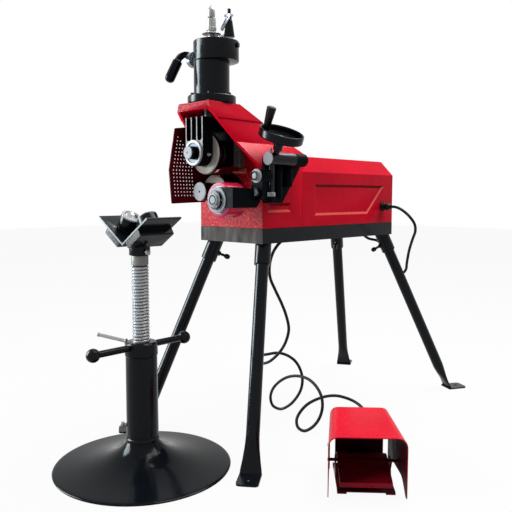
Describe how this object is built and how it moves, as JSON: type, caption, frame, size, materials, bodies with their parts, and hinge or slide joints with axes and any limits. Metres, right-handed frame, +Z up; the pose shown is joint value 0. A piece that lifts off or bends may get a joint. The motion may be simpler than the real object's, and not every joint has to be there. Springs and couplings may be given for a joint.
{
  "type": "pipe roll grooving machine with pipe stand",
  "caption": "Four-legged motor-driven hydraulic pipe roll groover with a stabiliser roller, a corded foot switch and a free-standing V-head pipe stand.",
  "frame": {"origin": "on the floor, at the middle of the rectangle that the machine, its foot switch and the pipe stand cover", "axes": "-Y is the working front where the rolls face, +X is the machine's right-hand side with the stabiliser and the foot switch, +Z is up"},
  "size_m": [0.8549, 1.448, 1.1893],
  "materials": {
    "red_paint": "bright red gloss enamel",
    "dark_red_paint": "darker red sheet-metal paint",
    "black_paint": "glossy black enamel",
    "dark_steel": "blackened steel, slightly oily",
    "bright_steel": "machined and ground steel",
    "zinc_steel": "bright zinc-plated steel",
    "pink_polyurethane": "glossy magenta polyurethane tyre",
    "black_rubber": "matt black rubber sheath",
    "black_plastic": "moulded black plastic"
  },
  "bodies": {
    "machine": {"base_frame": "black_paint", "leg_front_right": "black_paint", "leg_front_left": "black_paint", "leg_rear_right": "black_paint", "leg_rear_left": "black_paint", "frame_casting": "red_paint", "rear_housing": "red_paint", "cable_gland": "black_plastic", "gear_motor": "dark_steel", "bearing_cover": "black_paint", "guide_rail_left": "dark_steel", "guide_rail_right": "dark_steel", "cylinder_flange": "black_paint", "cylinder": "black_paint", "pump_block": "black_paint", "pump_clevis": "bright_steel", "side_guard": "dark_red_paint", "stabiliser_bracket": "black_paint", "cross_bar": "dark_steel", "clamp_stud": "dark_steel", "switch_hood": "red_paint", "switch_base": "dark_red_paint", "switch_box": "black_plastic", "stand_base": "black_paint", "stand_column": "black_paint", "foot_cord": "black_rubber"},
    "ram_unit": {"ram": "bright_steel", "yoke": "black_paint", "bearing_ring": "bright_steel", "upper_shaft": "dark_steel", "depth_stud": "zinc_steel"},
    "upper_roll": {"upper_roll": "bright_steel"},
    "depth_nut": {"depth_nut": "zinc_steel"},
    "drive": {"drive_shaft": "dark_steel", "lower_roll": "bright_steel"},
    "release": {"release_lever": "zinc_steel", "release_grip": "black_rubber"},
    "pump_lever": {"pump_lever": "black_paint", "pump_link": "zinc_steel"},
    "pump_plunger": {"pump_plunger": "bright_steel"},
    "stabiliser": {"stabiliser_arm": "black_paint", "pivot_bolt": "bright_steel", "roller_plate": "bright_steel", "roller_axle": "bright_steel"},
    "roller": {"roller_hub": "bright_steel", "roller_tyre": "pink_polyurethane"},
    "handwheel": {"handwheel": "black_paint"},
    "crank": {"crank_handle": "black_plastic"},
    "leg_screw_front_right": {"leg_screw_front_right": "dark_steel"},
    "leg_screw_front_left": {"leg_screw_front_left": "dark_steel"},
    "leg_screw_rear_right": {"leg_screw_rear_right": "dark_steel"},
    "leg_screw_rear_left": {"leg_screw_rear_left": "dark_steel"},
    "pedal": {"foot_pedal": "dark_red_paint"},
    "stand_nut": {"stand_nut": "black_paint"},
    "lock_lever": {"lock_lever": "zinc_steel"},
    "stand_screw": {"stand_screw": "zinc_steel"},
    "v_head": {"v_head": "black_paint"},
    "head_screw": {"head_screw": "zinc_steel"},
    "ball_left": {"ball_left": "bright_steel"},
    "ball_right": {"ball_right": "bright_steel"}
  },
  "joints": [
    {"name": "ram_slide", "type": "slide", "parent": "machine", "child": "ram_unit", "axis": [0, 0, -1], "range_m": [0, 0.014], "stiffness_N_per_m": 5000, "springref_m": -0.03},
    {"name": "upper_roll_spin", "type": "hinge", "parent": "ram_unit", "child": "upper_roll", "pos_m": [-0.144, -0.269, 0.8], "axis": [0, 1, 0], "continuous": true},
    {"name": "depth_nut_turn", "type": "hinge", "parent": "ram_unit", "child": "depth_nut", "pos_m": [-0.144, -0.2683, 1.142], "axis": [0, 0, 1], "continuous": true},
    {"name": "drive_spin", "type": "hinge", "parent": "machine", "child": "drive", "pos_m": [-0.144, -0.232, 0.6992], "axis": [0, 1, 0], "continuous": true},
    {"name": "release_turn", "type": "hinge", "parent": "machine", "child": "release", "pos_m": [-0.196, -0.279, 1.055], "axis": [1, 0, 0], "range_deg": [-60, 10]},
    {"name": "pump_swing", "type": "hinge", "parent": "machine", "child": "pump_lever", "pos_m": [-0.142, -0.232, 1.111], "axis": [0, 1, 0], "range_deg": [-35, 10]},
    {"name": "plunger_slide", "type": "slide", "parent": "machine", "child": "pump_plunger", "axis": [0, 0, -1], "range_m": [-0.009, 0.003]},
    {"name": "arm_swing", "type": "hinge", "parent": "machine", "child": "stabiliser", "pos_m": [0.006, -0.242, 0.739], "axis": [0, 1, 0], "range_deg": [-25, 15]},
    {"name": "roller_spin", "type": "hinge", "parent": "stabiliser", "child": "roller", "pos_m": [-0.054, -0.2985, 0.6773], "axis": [0, 1, 0], "continuous": true},
    {"name": "handwheel_turn", "type": "hinge", "parent": "machine", "child": "handwheel", "pos_m": [0.034, -0.189, 0.8436], "axis": [0.4017, -0.073, 0.9129], "range_deg": [-625, 375]},
    {"name": "crank_spin", "type": "hinge", "parent": "handwheel", "child": "crank", "pos_m": [-0.00254, -0.20756, 0.85819], "axis": [0.4017, -0.073, 0.9129], "continuous": true},
    {"name": "pedal_press", "type": "hinge", "parent": "machine", "child": "pedal", "pos_m": [0.29081, -0.17509, 0.046], "axis": [0.7559, 0.6547, 0], "range_deg": [0, 4.5], "stiffness_Nm_per_rad": 4, "springref_deg": -17.19},
    {"name": "nut_turn", "type": "hinge", "parent": "machine", "child": "stand_nut", "pos_m": [-0.1601, -0.499, 0.305], "axis": [0, 0, 1], "range_deg": [-4500, 6750]},
    {"name": "screw_lift", "type": "slide", "parent": "machine", "child": "stand_screw", "axis": [0, 0, 1], "range_m": [-0.1, 0.15]},
    {"name": "lock_lever_turn", "type": "hinge", "parent": "stand_nut", "child": "lock_lever", "pos_m": [-0.1601, -0.499, 0.3135], "axis": [-0.8619, -0.4811, 0.1604], "range_deg": [-180, 180]},
    {"name": "head_swivel", "type": "hinge", "parent": "stand_screw", "child": "v_head", "pos_m": [-0.1601, -0.499, 0.551], "axis": [0, 0, 1], "continuous": true},
    {"name": "head_screw_turn", "type": "hinge", "parent": "v_head", "child": "head_screw", "pos_m": [-0.134, -0.499, 0.55], "axis": [1, 0, 0], "continuous": true},
    {"name": "ball_left_roll", "type": "hinge", "parent": "v_head", "child": "ball_left", "pos_m": [-0.19579, -0.499, 0.63186], "axis": [0, 1, 0], "continuous": true},
    {"name": "ball_right_roll", "type": "hinge", "parent": "v_head", "child": "ball_right", "pos_m": [-0.12441, -0.499, 0.63186], "axis": [0, 1, 0], "continuous": true},
    {"name": "leg_screw_front_right_turn", "type": "hinge", "parent": "machine", "child": "leg_screw_front_right", "pos_m": [-0.04096, -0.17856, 0.52757], "axis": [-0.5371, 0.7523, -0.3816], "continuous": true},
    {"name": "leg_screw_front_left_turn", "type": "hinge", "parent": "machine", "child": "leg_screw_front_left", "pos_m": [-0.24704, -0.17856, 0.52757], "axis": [0.5371, 0.7523, -0.3816], "continuous": true},
    {"name": "leg_screw_rear_right_turn", "type": "hinge", "parent": "machine", "child": "leg_screw_rear_right", "pos_m": [-0.04119, 0.43267, 0.52852], "axis": [-0.4351, -0.7838, -0.4431], "continuous": true},
    {"name": "leg_screw_rear_left_turn", "type": "hinge", "parent": "machine", "child": "leg_screw_rear_left", "pos_m": [-0.24681, 0.43267, 0.52852], "axis": [0.4351, -0.7838, -0.4431], "continuous": true}
  ],
  "couplings": [
    {"joint": "plunger_slide", "follows": "pump_swing", "m_per_rad": 0.014},
    {"joint": "arm_swing", "follows": "handwheel_turn", "ratio": 0.04},
    {"joint": "screw_lift", "follows": "nut_turn", "m_per_rad": 0.0012732}
  ]
}
